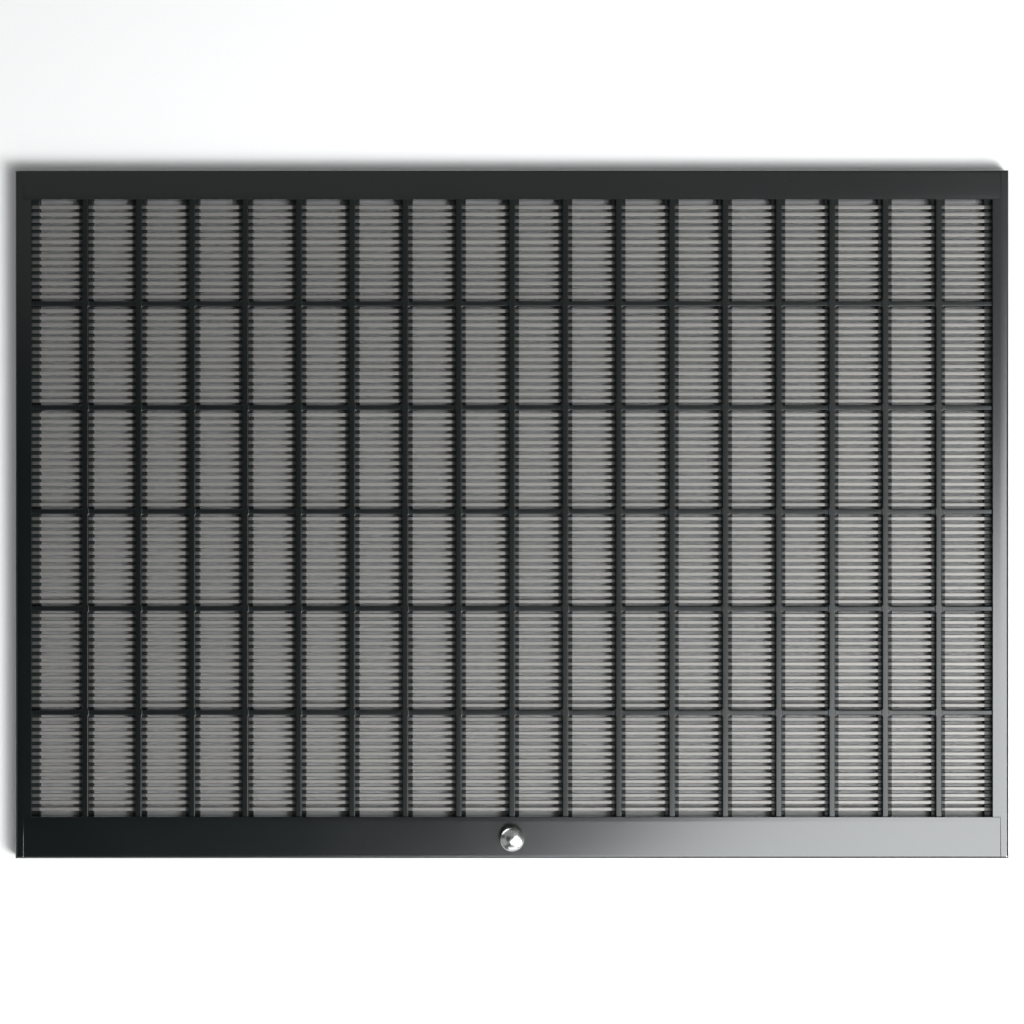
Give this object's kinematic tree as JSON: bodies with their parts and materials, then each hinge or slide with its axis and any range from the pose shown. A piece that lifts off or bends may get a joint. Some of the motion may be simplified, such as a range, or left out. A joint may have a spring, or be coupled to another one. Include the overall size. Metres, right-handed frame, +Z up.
{
  "type": "queen excluder",
  "caption": "Flat black rectangular frame with a grid of fine bright metal slats in toothed bars, cross ribs, and a small polished turning knob on one rail.",
  "frame": {"origin": "centre of the underside, at the surface the panel lies on", "axes": "+X along the long side, +Y from the knob rail to the top rail, +Z up out of the knob side"},
  "size_m": [0.505, 0.35, 0.018],
  "materials": {
    "black_rail": "gloss black moulding with a fine even texture",
    "black_comb": "satin black moulding",
    "black_ridge": "gloss black moulding, rounded top",
    "bright_slat": "satin drawn strip, grain along its length",
    "polished_knob": "polished plating",
    "plain_steel": "turned, bright",
    "washer": "black nylon"
  },
  "bodies": {
    "frame": {"right_side_rail": "black_rail", "left_side_rail": "black_rail", "top_rail": "black_rail", "knob_rail": "black_rail", "comb_bar_01": "black_comb", "comb_bar_02": "black_comb", "comb_bar_03": "black_comb", "comb_bar_04": "black_comb", "comb_bar_05": "black_comb", "comb_bar_06": "black_comb", "comb_bar_07": "black_comb", "comb_bar_08": "black_comb", "comb_bar_09": "black_comb", "comb_bar_10": "black_comb", "comb_bar_11": "black_comb", "comb_bar_12": "black_comb", "comb_bar_13": "black_comb", "comb_bar_14": "black_comb", "comb_bar_15": "black_comb", "comb_bar_16": "black_comb", "comb_bar_17": "black_comb", "ridge_strip_01": "black_ridge", "ridge_strip_02": "black_ridge", "ridge_strip_03": "black_ridge", "ridge_strip_04": "black_ridge", "ridge_strip_05": "black_ridge", "ridge_strip_06": "black_ridge", "ridge_strip_07": "black_ridge", "ridge_strip_08": "black_ridge", "ridge_strip_09": "black_ridge", "ridge_strip_10": "black_ridge", "ridge_strip_11": "black_ridge", "ridge_strip_12": "black_ridge", "ridge_strip_13": "black_ridge", "ridge_strip_14": "black_ridge", "ridge_strip_15": "black_ridge", "ridge_strip_16": "black_ridge", "ridge_strip_17": "black_ridge", "cross_rib_1": "black_ridge", "cross_rib_2": "black_ridge", "cross_rib_3": "black_ridge", "cross_rib_4": "black_ridge", "cross_rib_5": "black_ridge", "slat_row_1": "bright_slat", "slat_row_2": "bright_slat", "slat_row_3": "bright_slat", "slat_row_4": "bright_slat", "slat_row_5": "bright_slat", "slat_row_6": "bright_slat", "knob_washer": "washer", "clip_washer": "washer"},
    "knob": {"knob": "polished_knob", "knob_spindle": "plain_steel", "spindle_clip": "plain_steel"}
  },
  "joints": [
    {"name": "knob_turn", "type": "hinge", "parent": "frame", "child": "knob", "pos_m": [0, -0.16435, 0.009], "axis": [0, 0, 1], "continuous": true}
  ]
}
